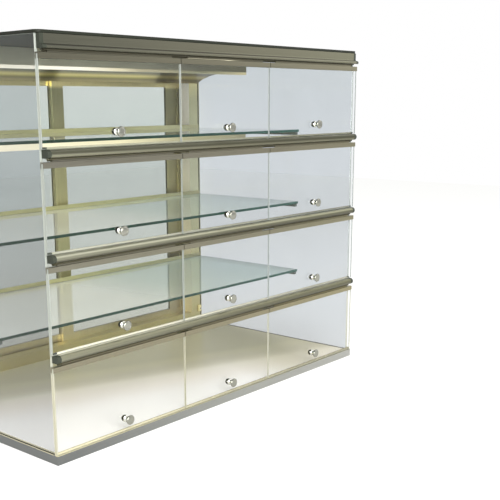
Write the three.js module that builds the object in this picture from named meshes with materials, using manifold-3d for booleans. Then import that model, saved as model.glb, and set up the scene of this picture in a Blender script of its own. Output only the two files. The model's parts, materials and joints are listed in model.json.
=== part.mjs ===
// Bakery display case: four tiers behind flip-up glass doors, glass shelves and rear sliding doors.
// Millimetres, +Z up, +X to the right as seen from the front, +Y towards the back.
// The origin is the middle of the footprint of the whole case, knobs included, on its underside.
import * as THREE from "three";
import { mergeVertices } from "three/addons/utils/BufferGeometryUtils.js";
import Module from "manifold-3d";

const wasm = await Module();
wasm.setup();

// Whole case. Depth runs from the front face of the doors' glass to the back of the rear frame.
const caseWidth = 1270;
const caseDepth = 762;
const tierCount = 4;
const tierPitch = 240;
const lowestHingeHeight = 251;
const seatGap = 0.3;
const cutOverrun = 5;

// Base frame and deck.
const baseHeight = 23;
const baseBarWidth = 40;
const baseFrontProud = 2;
const deckRebateDepth = 3;
const deckThickness = 4.5;
const deckSideGap = 6;
const stopHeight = 6;

// Side glass, with its groove in the base and its slot in the rear posts.
const sideGlassThickness = 8;
const sideGlassInset = 3;
const sideGlassGrooveDepth = 6;
const sideGlassSlotDepth = 11;

// Front doors: one row of three to each tier.
const middleDoorWidth = 368;
const doorGap = 2;
const doorGlassThickness = 6;
const doorFootGap = 1.5;
const stopGap = 0.5;

// Hinge: a bead along the door's rail turns in a socket along the fixed rail. The hinge line is
// over the middle of the glass, so a door falls shut by itself.
const beadRadius = 2.4;
const beadClearance = 0.3;
const neckThickness = 2;
const socketWall = 1.6;
const socketFrontDegrees = 180;
const socketBackDegrees = -60;
const lipStartDegrees = 125;

// Fixed front rails, measured from the hinge line and from the doors' front face.
const noseRadius = 9.2;
const noseReach = 12;
const noseHeight = 13.2;
const noseEndDegrees = 265;
const railBackDepth = 11;
const railEndCap = 8;
const fasciaRise = 36;
const fasciaProud = 1;
const fasciaFillet = 2;
const fasciaNoseRadius = 4.3;
const fasciaNoseHeight = 7.3;
const fasciaNoseEndDegrees = 280;

// Hinge rail that clamps the top edge of each door.
const hingeRailShoulder = 4.8;
const hingeRailDrop = 18.8;
const hingeRailProud = 3;
const hingeRailToe = 2;
const hingeRailBackLeg = 3;
const hingeRailChamfer = 1;
const glassPocketHeight = 8;

// Door knob: a turned knob bolted through the glass to a flanged nut.
const knobRadius = 13;
const knobProjection = 20;
const knobEdgeRound = 2;
const knobHeadDepth = 8;
const knobNeckRadius = 6.2;
const knobFootRadius = 9.5;
const knobFootDepth = 1.6;
const knobShankRadius = 4;
const knobHoleClearance = 0.5;
const knobNutRadius = 9;
const knobNutDepth = 5.5;
const knobAboveDoorFoot = 34;

// Rear frame: hollow posts, a head rail and a sill with two running tracks.
const postWidth = 57;
const rearFrameDepth = 67.4;
const rearWall = 3;
const headRailHeight = 65;
const sillHeight = 37;
const trackDepth = 15;
const trackLift = 8;
const trackBackWall = 2;
const trackFin = 2;
const trackPlay = 0.5;

// Power inlet let into the back of the head rail.
const inletPostGap = 98;
const inletWidth = 50;
const inletHeight = 28;
const inletDepth = 18;
const inletFloor = 3;
const socketWidth = 27;
const socketHeight = 20;
const inletDrop = 7;

// Rear sliding doors.
const leafThickness = 11;
const leafPostGap = 3;
const leafPullStile = 78;
const leafMeetingStile = 46;
const leafTopRail = 42;
const leafBottomRail = 36;
const leafEngagement = 12;
const pullGrooveInset = 19;
const pullGrooveWidth = 15;
const pullGrooveDepth = 4;
const paneThickness = 4;
const paneSeat = 6;

// Shelves: glass on a carrier of two arms and a crossbar in front of the rear posts.
const topShelfLift = 30;
const shelfLift = 24;
const shelfGlassThickness = 8;
const shelfSetback = 221;
const shelfSideGap = 1.2;
const crossbarDepth = 18;
const crossbarWall = 4;
const crossbarAbove = 16;
const crossbarBelow = 18;
const armWidth = 12;
const armHeight = 10;
const armNoseSetback = 6;

// Lighting: a coved soffit with a lamp at its front, and a second lamp under the top shelf.
const soffitDepth = 239;
const soffitDrop = 47;
const soffitSheet = 2;
const coveFlat = 90;
const coveBendShare = 0.64;
const coveDrop = 34;
const lampHeight = 8.5;
const lampDepth = 26;
const lampEdge = 3;
const driverWidth = 260;
const driverDepth = 60;
const driverHeight = 30;
const shelfLampForward = 7;
const shelfLampTrayHeight = 9;
const shelfLampHeight = 19.5;

// Top panel.
const topPanelThickness = 7;
const topPanelProud = 1;
const topPanelCorner = 17;

// Places worked out from the sizes above.
const halfWidth = caseWidth / 2;
const topHingeHeight = lowestHingeHeight + tierPitch * (tierCount - 1);
const roofUnderside = topHingeHeight + fasciaRise + seatGap;
const uprightTop = roofUnderside - seatGap;
const hingeY = doorGlassThickness / 2;
const noseTop = noseHeight + noseRadius;
const glassOuterX = halfWidth - sideGlassInset;
const glassInnerX = glassOuterX - sideGlassThickness;
const rearFrameY = caseDepth - rearFrameDepth;
const postInnerX = halfWidth - postWidth;
const sillTop = baseHeight + seatGap + sillHeight;
const headRailBottom = uprightTop - headRailHeight;
const trackFloor = sillTop - trackDepth;
const trackCeiling = headRailBottom + leafEngagement + trackLift;
const baseRebateHeight = baseHeight - deckRebateDepth;
const inletX = postInnerX - inletPostGap - inletWidth / 2;
const soffitHeight = uprightTop - soffitDrop;
const soffitBack = rearFrameY - seatGap;
const soffitSetback = soffitBack - soffitDepth;
const shelfLampSetback = soffitSetback - shelfLampForward;
const rearLeafY = caseDepth - trackBackWall - trackPlay - leafThickness;
const frontLeafY = rearLeafY - trackFin - trackPlay - trackPlay - leafThickness;

const materials = {
  rail: metal(0x8f8e7a, 0.36),
  hingeRail: metal(0x9c9888, 0.32),
  base: metal(0xa3a4a0, 0.4),
  rearFrame: metal(0x9a9474, 0.34),
  soffit: metal(0x86846f, 0.38),
  chrome: metal(0xdfe0dc, 0.08),
  clearGlass: clear(0xd3dadb),
  shelfGlass: clear(0x9fbfb2),
  lamp: new THREE.MeshStandardMaterial({ color: 0xfff3d2, roughness: 0.45, metalness: 0 }),
  deck: new THREE.MeshStandardMaterial({ color: 0xf4f2e6, roughness: 0.18, metalness: 0 }),
  roof: new THREE.MeshStandardMaterial({ color: 0x121310, roughness: 0.3, metalness: 0 }),
};

function metal(color, roughness) {
  return new THREE.MeshStandardMaterial({ color, roughness, metalness: 1 });
}

function clear(color) {
  return new THREE.MeshStandardMaterial({
    color,
    roughness: 0.04,
    metalness: 0,
    transparent: true,
    opacity: 0.35,
  });
}

function radians(degrees) {
  return THREE.MathUtils.degToRad(degrees);
}

// A rectangular solid between two opposite corners, given in any order.
function block(from, to) {
  const size = from.map((value, i) => Math.abs(to[i] - value));
  const middle = from.map((value, i) => (to[i] + value) / 2);
  return new THREE.BoxGeometry(...size).translate(...middle);
}

// An outline drawn in Y and Z, run along X between two places.
function runAlongX(outline, fromX, toX) {
  const options = { depth: toX - fromX, bevelEnabled: false, curveSegments: 4 };
  const geometry = new THREE.ExtrudeGeometry(outline, options);
  const turn = new THREE.Matrix4().set(0, 0, 1, fromX, 1, 0, 0, 0, 0, 1, 0, 0, 0, 0, 0, 1);
  return geometry.applyMatrix4(turn);
}

function solidOf(geometry) {
  const bare = geometry.clone();
  bare.deleteAttribute("normal");
  bare.deleteAttribute("uv");
  const merged = mergeVertices(bare);
  const mesh = new wasm.Mesh({
    numProp: 3,
    vertProperties: new Float32Array(merged.attributes.position.array),
    triVerts: new Uint32Array(merged.index.array),
  });
  return new wasm.Manifold(mesh);
}

function geometryOf(solid) {
  const mesh = solid.getMesh();
  const geometry = new THREE.BufferGeometry();
  geometry.setAttribute("position", new THREE.BufferAttribute(mesh.vertProperties, 3));
  geometry.setIndex(new THREE.BufferAttribute(mesh.triVerts, 1));
  const flat = geometry.toNonIndexed();
  flat.computeVertexNormals();
  return flat;
}

function join(...pieces) {
  const joined = pieces.map(solidOf).reduce((whole, piece) => whole.add(piece));
  return geometryOf(joined);
}

function cut(piece, ...tools) {
  const left = tools.map(solidOf).reduce((whole, tool) => whole.subtract(tool), solidOf(piece));
  return geometryOf(left);
}

function addPart(parent, name, geometry, material, place = [0, 0, 0]) {
  const mesh = new THREE.Mesh(geometry, material);
  mesh.name = name;
  mesh.position.set(...place);
  parent.add(mesh);
}

// Base frame: a ring with a middle bar, rebated for the deck and grooved for the side glass.
function addBase(parent) {
  const frontY = -baseFrontProud;
  const insideX = halfWidth - baseBarWidth;
  const deckX = glassInnerX - deckSideGap;
  const ring = cut(
    block([-halfWidth, frontY, 0], [halfWidth, caseDepth, baseHeight]),
    block(
      [-insideX, frontY + baseBarWidth, -cutOverrun],
      [insideX, caseDepth - baseBarWidth, baseHeight + cutOverrun],
    ),
    block(
      [-deckX - seatGap, railBackDepth + seatGap, baseRebateHeight],
      [deckX + seatGap, rearFrameY, baseHeight + cutOverrun],
    ),
    ...[-1, 1].map((side) =>
      block(
        [side * (glassOuterX + seatGap), railBackDepth, baseHeight - sideGlassGrooveDepth],
        [side * (glassInnerX - seatGap), sideGlassBack() + seatGap, baseHeight + cutOverrun],
      ),
    ),
  );
  const middleBar = block(
    [-baseBarWidth / 2, frontY + baseBarWidth / 2, 0],
    [baseBarWidth / 2, caseDepth - baseBarWidth / 2, baseRebateHeight],
  );
  const doorStop = block(
    [-halfWidth, doorGlassThickness + stopGap, baseRebateHeight],
    [halfWidth, railBackDepth, baseHeight + stopHeight],
  );
  addPart(parent, "base_frame", join(ring, middleBar, doorStop), materials.base);
  const deck = block(
    [-deckX, railBackDepth + seatGap + seatGap, 0],
    [deckX, rearFrameY - seatGap, deckThickness],
  );
  addPart(parent, "deck_panel", deck, materials.deck, [0, 0, baseRebateHeight + seatGap]);
}

function sideGlassBack() {
  return rearFrameY + sideGlassSlotDepth - seatGap;
}

function addSideGlass(parent, side, name) {
  const bottom = baseHeight - sideGlassGrooveDepth + seatGap;
  const pane = block(
    [-sideGlassThickness / 2, railBackDepth + seatGap, bottom],
    [sideGlassThickness / 2, sideGlassBack(), uprightTop],
  );
  const middleX = side * (glassInnerX + sideGlassThickness / 2);
  addPart(parent, name, pane, materials.clearGlass, [middleX, 0, 0]);
}

// Outline of a fixed rail about the hinge line: the open socket, the web behind it and the nose.
function startRail() {
  const socketRadius = beadRadius + beadClearance;
  const front = radians(socketFrontDegrees);
  const back = radians(socketBackDegrees);
  const outline = new THREE.Shape();
  outline.absarc(0, 0, socketRadius, front, back, true);
  outline.absarc(0, 0, socketRadius + socketWall, back, 0, false);
  outline.lineTo(railBackDepth - hingeY, 0);
  return outline;
}

function finishRail(outline, radius, height, endDegrees) {
  const lipRadius = beadRadius + beadClearance + socketWall;
  outline.absarc(radius - noseReach - hingeY, height, radius, radians(90), radians(endDegrees), false);
  outline.absarc(0, 0, lipRadius, radians(lipStartDegrees), radians(socketFrontDegrees), false);
  return outline;
}

// Rail between two tiers: its ledge closes the doors above and its stop stands behind them.
function shelfRailOutline() {
  const outline = startRail();
  const stopY = doorGlassThickness + stopGap - hingeY;
  outline.lineTo(railBackDepth - hingeY, noseTop + stopHeight);
  outline.lineTo(stopY, noseTop + stopHeight);
  outline.lineTo(stopY, noseTop);
  return finishRail(outline, noseRadius, noseHeight, noseEndDegrees);
}

function fasciaOutline() {
  const outline = startRail();
  const faceY = -fasciaProud - hingeY;
  outline.lineTo(railBackDepth - hingeY, fasciaRise);
  outline.lineTo(faceY, fasciaRise);
  outline.lineTo(faceY, fasciaNoseHeight + fasciaNoseRadius + fasciaFillet);
  return finishRail(outline, fasciaNoseRadius, fasciaNoseHeight, fasciaNoseEndDegrees);
}

function addFrontRails(parent) {
  const railReach = halfWidth - railEndCap;
  const fascia = runAlongX(fasciaOutline(), -railReach, railReach);
  addPart(parent, "front_fascia", fascia, materials.rail, [0, hingeY, topHingeHeight]);
  for (let tier = 2; tier <= tierCount; tier += 1) {
    const rail = runAlongX(shelfRailOutline(), -railReach, railReach);
    addPart(parent, `front_rail_${tier}`, rail, materials.rail, [0, hingeY, hingeHeight(tier)]);
  }
}

function hingeHeight(tier) {
  return topHingeHeight - tierPitch * (tier - 1);
}

// Outline of the door's own rail: the bead and neck on top, the pocket for the glass below.
function hingeRailOutline() {
  const halfNeck = neckThickness / 2;
  const neckAngle = Math.asin(halfNeck / beadRadius);
  const frontY = -hingeRailProud - hingeY;
  const glassFront = -seatGap - hingeY;
  const glassBack = doorGlassThickness + seatGap - hingeY;
  const backY = glassBack + hingeRailBackLeg;
  const outline = new THREE.Shape();
  outline.absarc(0, 0, beadRadius, -Math.PI / 2 - neckAngle, neckAngle - Math.PI / 2, true);
  outline.lineTo(halfNeck, -hingeRailShoulder);
  outline.lineTo(backY - hingeRailChamfer, -hingeRailShoulder);
  outline.lineTo(backY, -hingeRailShoulder - hingeRailChamfer);
  outline.lineTo(backY, -hingeRailDrop);
  outline.lineTo(glassBack, -hingeRailDrop);
  outline.lineTo(glassBack, -glassPocketHeight);
  outline.lineTo(glassFront, -glassPocketHeight);
  outline.lineTo(glassFront, -hingeRailDrop);
  outline.lineTo(frontY + hingeRailToe, -hingeRailDrop);
  outline.quadraticCurveTo(frontY, -hingeRailDrop, frontY, -hingeRailDrop + hingeRailToe);
  outline.lineTo(frontY, -hingeRailShoulder - hingeRailChamfer);
  outline.lineTo(frontY + hingeRailChamfer, -hingeRailShoulder);
  outline.lineTo(-halfNeck, -hingeRailShoulder);
  return outline;
}

// The knob is turned about the Y axis. Zero is the front face of the glass.
function knobGeometry() {
  const headBack = -knobProjection + knobHeadDepth;
  const footFront = -seatGap - knobFootDepth;
  const nutFront = doorGlassThickness + seatGap;
  const nutBack = nutFront + knobNutDepth;
  const profile = [
    [0, -knobProjection],
    [knobRadius - knobEdgeRound - knobEdgeRound, -knobProjection],
    [knobRadius - knobEdgeRound / 2, -knobProjection + knobEdgeRound / 2],
    [knobRadius, -knobProjection + knobEdgeRound],
    [knobRadius - knobEdgeRound / 2, headBack - knobEdgeRound],
    [knobNeckRadius, headBack],
    [knobNeckRadius, footFront - knobFootDepth],
    [knobFootRadius, footFront],
    [knobFootRadius, -seatGap],
    [knobShankRadius, -seatGap],
    [knobShankRadius, nutFront],
    [knobNutRadius, nutFront],
    [knobNutRadius, nutBack - knobEdgeRound],
    [knobNutRadius - knobEdgeRound, nutBack],
    [0, nutBack],
  ];
  const points = profile.map(([radius, along]) => new THREE.Vector2(radius, along));
  return new THREE.LatheGeometry(points, 16);
}

// One door about its hinge line: glass, hinge rail and knob.
function addDoor(parent, name, width, footBelowHinge) {
  const halfDoor = (width - doorGap) / 2;
  const glassTop = -glassPocketHeight - seatGap;
  const glassFoot = -footBelowHinge;
  const knobHeight = glassFoot + knobAboveDoorFoot;
  const holeRadius = knobShankRadius + knobHoleClearance;
  const holeLength = doorGlassThickness + cutOverrun + cutOverrun;
  const hole = new THREE.CylinderGeometry(holeRadius, holeRadius, holeLength, 16);
  const glass = cut(
    block(
      [-halfDoor, -hingeY, glassFoot],
      [halfDoor, doorGlassThickness - hingeY, glassTop],
    ),
    hole.translate(0, doorGlassThickness / 2 - hingeY, knobHeight),
  );
  addPart(parent, `${name}_glass`, glass, materials.clearGlass);
  const rail = runAlongX(hingeRailOutline(), -halfDoor, halfDoor);
  addPart(parent, `${name}_hinge_rail`, rail, materials.hingeRail);
  const knobPlace = [0, -hingeY, knobHeight];
  addPart(parent, `${name}_knob`, knobGeometry(), materials.chrome, knobPlace);
}

function addDoors(parent) {
  const endDoorWidth = (caseWidth - middleDoorWidth) / 2;
  const endDoorX = (middleDoorWidth + endDoorWidth) / 2;
  const columns = [
    { label: "left", x: -endDoorX, width: endDoorWidth },
    { label: "middle", x: 0, width: middleDoorWidth },
    { label: "right", x: endDoorX, width: endDoorWidth },
  ];
  for (let tier = 1; tier <= tierCount; tier += 1) {
    const isLowest = tier === tierCount;
    const footHeight = (isLowest ? baseHeight : hingeHeight(tier + 1) + noseTop) + doorFootGap;
    for (const column of columns) {
      const door = new THREE.Group();
      door.position.set(column.x, hingeY, hingeHeight(tier));
      parent.add(door);
      const footBelowHinge = hingeHeight(tier) - footHeight;
      addDoor(door, `door_${tier}_${column.label}`, column.width, footBelowHinge);
    }
  }
}

// Rear frame: two hollow posts joined by the head rail and the sill, both with two tracks.
function addRearFrame(parent) {
  const bottom = baseHeight + seatGap;
  const insideBack = caseDepth - rearWall;
  const tracks = [frontLeafY, rearLeafY].map((leafY) => [
    leafY - trackPlay,
    leafY + leafThickness + trackPlay,
  ]);
  const reach = postInnerX + rearWall / 2;
  const sill = cut(
    block([-reach, rearFrameY, bottom], [reach, caseDepth, sillTop]),
    block(
      [-halfWidth, rearFrameY + rearWall, bottom - cutOverrun],
      [halfWidth, insideBack, trackFloor - rearWall],
    ),
    ...tracks.map(([front, back]) =>
      block([-halfWidth, front, trackFloor], [halfWidth, back, sillTop + cutOverrun]),
    ),
  );
  const headRail = cut(
    block([-reach, rearFrameY, headRailBottom], [reach, caseDepth, uprightTop]),
    block(
      [-halfWidth, rearFrameY + rearWall, trackCeiling + rearWall],
      [halfWidth, insideBack, uprightTop + cutOverrun],
    ),
    ...tracks.map(([front, back]) =>
      block([-halfWidth, front, headRailBottom - cutOverrun], [halfWidth, back, trackCeiling]),
    ),
    inletBox(inletWidth, inletHeight, inletDepth, cutOverrun),
  );
  const inlet = cut(
    inletBox(inletWidth, inletHeight, inletDepth, 0),
    inletBox(socketWidth, socketHeight, inletDepth - inletFloor, cutOverrun),
  );
  addPart(
    parent,
    "rear_frame",
    join(sill, headRail, inlet, postGeometry(-1), postGeometry(1)),
    materials.rearFrame,
  );
}

// A block about the inlet's middle, from a depth inside the head rail to past its back face.
function inletBox(width, height, depth, overrun) {
  const middleZ = uprightTop - inletDrop - inletHeight / 2;
  return block(
    [inletX - width / 2, caseDepth - depth, middleZ - height / 2],
    [inletX + width / 2, caseDepth + overrun, middleZ + height / 2],
  );
}

function postGeometry(side) {
  const bottom = baseHeight + seatGap;
  const walls = block(
    [side * postInnerX, rearFrameY, bottom],
    [side * halfWidth, caseDepth, uprightTop],
  );
  const bore = block(
    [side * (postInnerX + rearWall), rearFrameY + rearWall, bottom - cutOverrun],
    [side * (halfWidth - rearWall), caseDepth - rearWall, uprightTop + cutOverrun],
  );
  const glassSlot = block(
    [side * (glassInnerX - seatGap), rearFrameY - cutOverrun, bottom - cutOverrun],
    [side * (glassOuterX + seatGap), rearFrameY + sideGlassSlotDepth, uprightTop + cutOverrun],
  );
  return cut(walls, bore, glassSlot);
}

// One sliding door about its own pull edge. It reaches from the post past the middle of the case.
function addRearDoor(parent, name, side, leafY) {
  const outerX = postInnerX - leafPostGap;
  const meetingX = -leafMeetingStile / 2;
  const bottom = trackFloor + seatGap;
  const top = headRailBottom + leafEngagement;
  const paneFrom = [
    side * (meetingX + leafMeetingStile - paneSeat),
    leafY + (leafThickness - paneThickness) / 2,
    bottom + leafBottomRail - paneSeat,
  ];
  const paneTo = [
    side * (outerX - leafPullStile + paneSeat),
    leafY + (leafThickness + paneThickness) / 2,
    top - leafTopRail + paneSeat,
  ];
  const pullX = outerX - pullGrooveInset;
  const grooves = [leafY, leafY + leafThickness].map((faceY) =>
    block(
      [side * pullX, faceY - pullGrooveDepth, bottom + leafBottomRail],
      [side * (pullX - pullGrooveWidth), faceY + pullGrooveDepth, top - leafTopRail],
    ),
  );
  const frame = cut(
    block([side * meetingX, leafY, bottom], [side * outerX, leafY + leafThickness, top]),
    block(
      [side * (meetingX + leafMeetingStile), leafY - cutOverrun, bottom + leafBottomRail],
      [
        side * (outerX - leafPullStile),
        leafY + leafThickness + cutOverrun,
        top - leafTopRail,
      ],
    ),
    block(
      [paneFrom[0] - side * seatGap, paneFrom[1] - seatGap, paneFrom[2] - seatGap],
      [paneTo[0] + side * seatGap, paneTo[1] + seatGap, paneTo[2] + seatGap],
    ),
    ...grooves,
  );
  addPart(parent, `${name}_frame`, frame, materials.rearFrame);
  addPart(parent, `${name}_glass`, block(paneFrom, paneTo), materials.clearGlass);
}

// Shelf carrier: a crossbar rebated for the glass, and an arm along each end of it.
function carrierGeometry() {
  const backY = rearFrameY - seatGap;
  const outerX = glassInnerX - seatGap;
  const under = -shelfGlassThickness / 2 - seatGap;
  const crossbar = cut(
    block([-outerX, backY - crossbarDepth, -crossbarBelow], [outerX, backY, crossbarAbove]),
    block(
      [-halfWidth, backY - crossbarDepth - cutOverrun, under],
      [halfWidth, backY - crossbarWall, crossbarAbove + cutOverrun],
    ),
  );
  const arms = [-1, 1].map((side) =>
    block(
      [side * (outerX - armWidth), shelfSetback + armNoseSetback, under - armHeight],
      [side * outerX, backY - crossbarDepth / 2, under],
    ),
  );
  return join(crossbar, ...arms);
}

// A shelf stands a little above the hinge line of the doors below it.
function shelfHeight(number) {
  const lift = number === 1 ? topShelfLift : shelfLift;
  return hingeHeight(number + 1) + lift;
}

function addShelves(parent) {
  for (let number = 1; number < tierCount; number += 1) {
    const height = shelfHeight(number);
    const halfShelf = glassInnerX - shelfSideGap;
    const shelfBack = rearFrameY - seatGap - crossbarWall - seatGap;
    const glass = block(
      [-halfShelf, shelfSetback, -shelfGlassThickness / 2],
      [halfShelf, shelfBack, shelfGlassThickness / 2],
    );
    addPart(parent, `shelf_${number}_glass`, glass, materials.shelfGlass, [0, 0, height]);
    const carrier = carrierGeometry();
    addPart(parent, `shelf_${number}_carrier`, carrier, materials.rearFrame, [0, 0, height]);
  }
}

// Coved soffit: a folded sheet from the roof down to the lamp, then curving back to the posts.
function soffitGeometry() {
  const inner = soffitHeight + soffitSheet;
  const coveStart = soffitSetback + coveFlat;
  const coveBend = coveStart + (soffitBack - coveStart) * coveBendShare;
  const outline = new THREE.Shape();
  outline.moveTo(soffitSetback, uprightTop);
  outline.lineTo(soffitSetback, soffitHeight);
  outline.lineTo(coveStart, soffitHeight);
  outline.quadraticCurveTo(coveBend, soffitHeight, soffitBack, soffitHeight - coveDrop);
  outline.lineTo(soffitBack, inner - coveDrop);
  outline.quadraticCurveTo(coveBend, inner, coveStart, inner);
  outline.lineTo(soffitSetback + soffitSheet, inner);
  outline.lineTo(soffitSetback + soffitSheet, uprightTop);
  const reach = glassInnerX - seatGap;
  const driver = block(
    [-driverWidth / 2, coveStart - driverDepth, soffitHeight + soffitSheet / 2],
    [driverWidth / 2, coveStart, soffitHeight + driverHeight],
  );
  return join(runAlongX(outline, -reach, reach), driver);
}

// A lamp's diffuser, hung from what is above it: its lower edges are drawn in.
function diffuserOutline(depth, height) {
  const outline = new THREE.Shape();
  outline.moveTo(0, 0);
  outline.lineTo(0, lampEdge - height);
  outline.lineTo(lampEdge, -height);
  outline.lineTo(depth - lampEdge, -height);
  outline.lineTo(depth, lampEdge - height);
  outline.lineTo(depth, 0);
  return outline;
}

function addLighting(parent) {
  addPart(parent, "light_soffit", soffitGeometry(), materials.soffit);
  const reach = glassInnerX - seatGap;
  const topLamp = runAlongX(diffuserOutline(lampDepth, lampHeight), -reach, reach);
  const topLampPlace = [0, soffitSetback, soffitHeight - seatGap];
  addPart(parent, "top_lamp_diffuser", topLamp, materials.lamp, topLampPlace);
  const trayTop = shelfHeight(1) - shelfGlassThickness / 2 - seatGap;
  const trayReach = glassInnerX - seatGap - armWidth - seatGap;
  const tray = block(
    [-trayReach, shelfLampSetback, trayTop - shelfLampTrayHeight],
    [trayReach, shelfLampSetback + lampDepth + soffitSheet, trayTop],
  );
  addPart(parent, "shelf_lamp_tray", tray, materials.soffit);
  const shelfLamp = runAlongX(diffuserOutline(lampDepth, shelfLampHeight), -trayReach, trayReach);
  const shelfLampPlace = [0, shelfLampSetback, trayTop - shelfLampTrayHeight - seatGap];
  addPart(parent, "shelf_lamp_diffuser", shelfLamp, materials.lamp, shelfLampPlace);
}

// Top panel: a flat sheet with its two front corners rounded.
function addTopPanel(parent) {
  const cornerX = halfWidth - topPanelCorner;
  const cornerY = topPanelCorner - topPanelProud;
  const outline = new THREE.Shape();
  outline.moveTo(halfWidth, caseDepth);
  outline.lineTo(-halfWidth, caseDepth);
  outline.absarc(-cornerX, cornerY, topPanelCorner, radians(180), radians(270), false);
  outline.absarc(cornerX, cornerY, topPanelCorner, radians(270), radians(360), false);
  const options = { depth: topPanelThickness, bevelEnabled: false, curveSegments: 6 };
  const panel = new THREE.ExtrudeGeometry(outline, options);
  addPart(parent, "top_panel", panel, materials.roof, [0, 0, roofUnderside]);
}

const displayCase = new THREE.Group();
displayCase.position.y = (knobProjection - caseDepth) / 2;
addBase(displayCase);
addSideGlass(displayCase, -1, "side_glass_left");
addSideGlass(displayCase, 1, "side_glass_right");
addFrontRails(displayCase);
addDoors(displayCase);
addRearFrame(displayCase);
addRearDoor(displayCase, "rear_door_left", -1, rearLeafY);
addRearDoor(displayCase, "rear_door_right", 1, frontLeafY);
addShelves(displayCase);
addLighting(displayCase);
addTopPanel(displayCase);

const part = new THREE.Group();
part.add(displayCase);

export default part;
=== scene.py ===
import json
from math import asin, cos, degrees, radians, sin

import bmesh
import bpy
from mathutils import Matrix, Vector


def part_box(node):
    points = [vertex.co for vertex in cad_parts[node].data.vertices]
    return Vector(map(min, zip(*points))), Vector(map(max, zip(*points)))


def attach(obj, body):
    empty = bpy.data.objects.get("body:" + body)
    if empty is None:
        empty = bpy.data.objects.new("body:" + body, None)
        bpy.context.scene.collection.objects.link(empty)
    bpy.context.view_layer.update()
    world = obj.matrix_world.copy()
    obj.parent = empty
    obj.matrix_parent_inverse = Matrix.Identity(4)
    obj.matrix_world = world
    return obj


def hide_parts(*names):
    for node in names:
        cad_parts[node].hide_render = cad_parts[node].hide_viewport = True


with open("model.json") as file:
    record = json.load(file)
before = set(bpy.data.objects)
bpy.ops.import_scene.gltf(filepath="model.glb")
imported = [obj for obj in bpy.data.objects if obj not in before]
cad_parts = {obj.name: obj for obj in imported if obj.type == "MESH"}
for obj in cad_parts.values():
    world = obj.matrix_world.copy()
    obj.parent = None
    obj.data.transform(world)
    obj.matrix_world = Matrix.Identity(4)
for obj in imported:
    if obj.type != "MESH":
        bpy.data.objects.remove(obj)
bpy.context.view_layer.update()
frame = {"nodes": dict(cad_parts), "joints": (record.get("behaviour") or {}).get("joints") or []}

mm = 0.001
hair = 0.01 * mm     # places closer than this count as one
scene = bpy.context.scene

# The camera stands to the front left, a little above the middle of the case.
cameraLook = {
    "place": (-1.88872, -2.01193, 0.85347),
    "lens": 64.307,
    "turn": 48.856,      # degrees from straight back towards the right
    "tilt": 12.701,      # degrees below the horizon
    "roll": -0.352,
    "shift": (0.0471, 0.1093),
}


def addCamera(look):
    data = bpy.data.cameras.new("camera")
    data.lens = look["lens"]
    data.shift_x, data.shift_y = look["shift"]
    camera = bpy.data.objects.new("camera", data)
    scene.collection.objects.link(camera)
    camera.matrix_world = (
        Matrix.Translation(look["place"])
        @ Matrix.Rotation(-radians(look["turn"]), 4, "Z")
        @ Matrix.Rotation(radians(90 - look["tilt"]), 4, "X")
        @ Matrix.Rotation(radians(look["roll"]), 4, "Z")
    )
    scene.camera = camera


addCamera(cameraLook)
print("camera placed")


# sRGB hex to the linear values that shaders take
def linear(hexColour):
    channels = [int(hexColour[i:i + 2], 16) / 255 for i in (1, 3, 5)]
    return (*[c / 12.92 if c <= 0.04045 else ((c + 0.055) / 1.055) ** 2.4 for c in channels], 1)


# Adds a node. "stops" fills a colour ramp, and an input takes a value or another node's output.
def addNode(tree, kind, settings=None, inputs=None):
    node = tree.nodes.new(kind)
    for name, value in (settings or {}).items():
        if name == "stops":
            ramp = node.color_ramp
            while len(ramp.elements) < len(value):
                ramp.elements.new(1)
            for element, (share, colour) in zip(ramp.elements, value):
                element.position = share
                element.color = linear(colour)
        else:
            setattr(node, name, value)
    for name, value in (inputs or {}).items():
        if isinstance(value, bpy.types.NodeSocket):
            tree.links.new(value, node.inputs[name])
        else:
            node.inputs[name].default_value = value
    return node


def startMaterial(name):
    material = bpy.data.materials.new(name)
    material.use_nodes = True
    material.node_tree.nodes.clear()
    return material, material.node_tree


# A tone that changes along one or more axes of the case; most runs here are painted light, shade
# and reflection.
# Each run has its axis, its reach in metres and its tones, and multiplies the runs before it.
def toneAlong(tree, place, runs):
    axes = addNode(tree, "ShaderNodeSeparateXYZ", inputs={"Vector": place})
    tone = None
    for axis, reach, tones in runs:
        share = addNode(tree, "ShaderNodeMapRange", inputs={
            "Value": axes.outputs[axis], "From Min": reach[0], "From Max": reach[1],
        })
        ramp = addNode(
            tree, "ShaderNodeValToRGB", {"stops": tones}, {"Fac": share.outputs["Result"]},
        )
        tone = ramp.outputs["Color"] if tone is None else addNode(
            tree, "ShaderNodeMixRGB", {"blend_type": "MULTIPLY"},
            {"Fac": 1, "Color1": tone, "Color2": ramp.outputs["Color"]},
        ).outputs["Color"]
    return tone


# Nearly all values of a noise lie in this span.
noiseSpan = {"From Min": 0.3, "From Max": 0.7}


# A noise of a given size in millimetres, and a tone that it lightens and darkens by a share. The
# tone's runs may be turned about the upright, by degrees.
def noisyTone(tree, place, look):
    stretched = addNode(tree, "ShaderNodeMapping", inputs={
        "Vector": place, "Scale": [1 / (size * mm) for size in look["grainSize"]],
    })
    grain = addNode(tree, "ShaderNodeTexNoise", inputs={
        "Vector": stretched.outputs["Vector"], "Scale": 1, "Detail": 3, "Roughness": 0.6,
    })
    shade = addNode(tree, "ShaderNodeMapRange", inputs={
        "Value": grain.outputs["Fac"], **noiseSpan,
        "To Min": 1 - look["variation"], "To Max": 1 + look["variation"],
    })
    runPlace = addNode(tree, "ShaderNodeMapping", inputs={
        "Vector": place, "Rotation": (0, 0, radians(look.get("turn", 0))),
    })
    colour = addNode(tree, "ShaderNodeVectorMath", {"operation": "SCALE"}, {
        0: toneAlong(tree, runPlace.outputs["Vector"], look["runs"]),
        "Scale": shade.outputs["Result"],
    })
    return grain.outputs["Fac"], colour.outputs["Vector"]


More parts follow.
